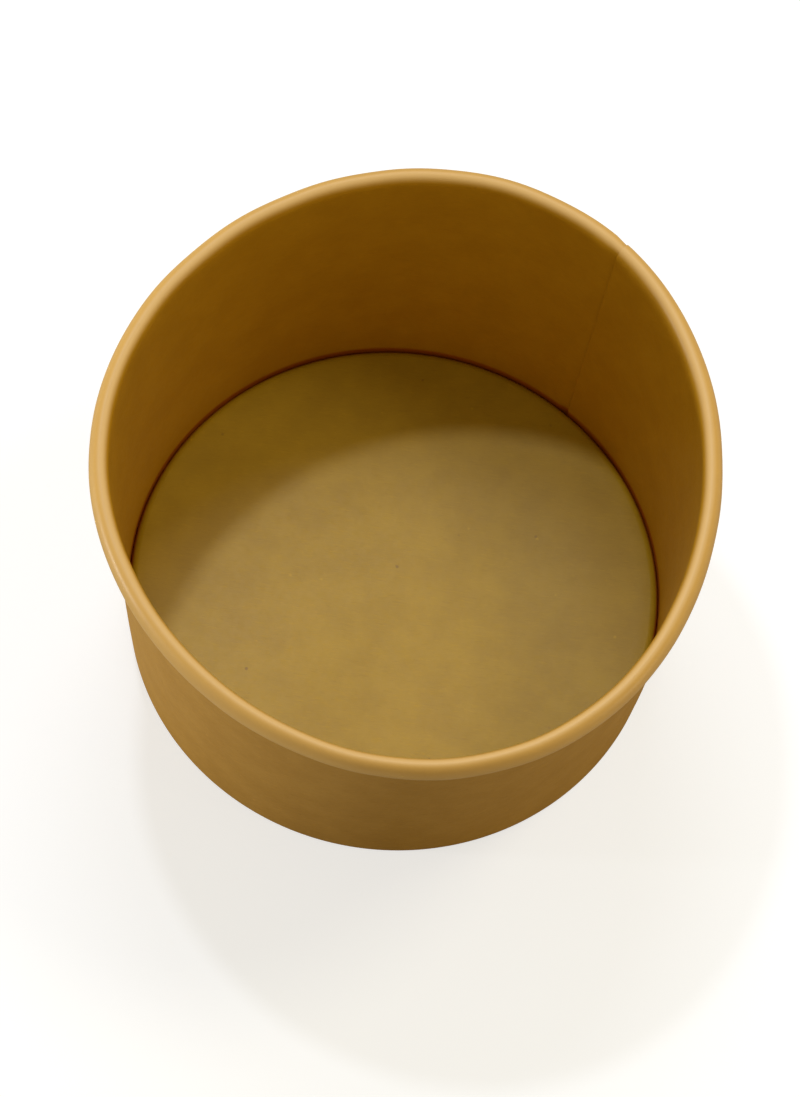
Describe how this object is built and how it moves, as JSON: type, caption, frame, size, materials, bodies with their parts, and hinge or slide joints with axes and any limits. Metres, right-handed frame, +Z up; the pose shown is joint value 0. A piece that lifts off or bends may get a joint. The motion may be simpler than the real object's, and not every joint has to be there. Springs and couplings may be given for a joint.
{
  "type": "paper ice cream cup",
  "caption": "Squat tapered kraft paper cup for ice cream, with a rolled rim, a lapped side seam and a recessed bottom disc clasped in a folded hem.",
  "frame": {"origin": "middle of the foot, on the surface that the cup stands on", "axes": "+Z up along the axis of the cup, -Y towards the side that faces the viewer, +X to the viewer's right"},
  "size_m": [0.11, 0.11, 0.061],
  "materials": {
    "kraft_wall": "unbleached kraft board, matte outside, with a thin satin lining inside",
    "kraft_disc": "unbleached kraft board with a thin satin lining and a mottled fibre"
  },
  "bodies": {
    "root": {"side_wall": "kraft_wall", "base_disc": "kraft_disc"}
  },
  "joints": []
}
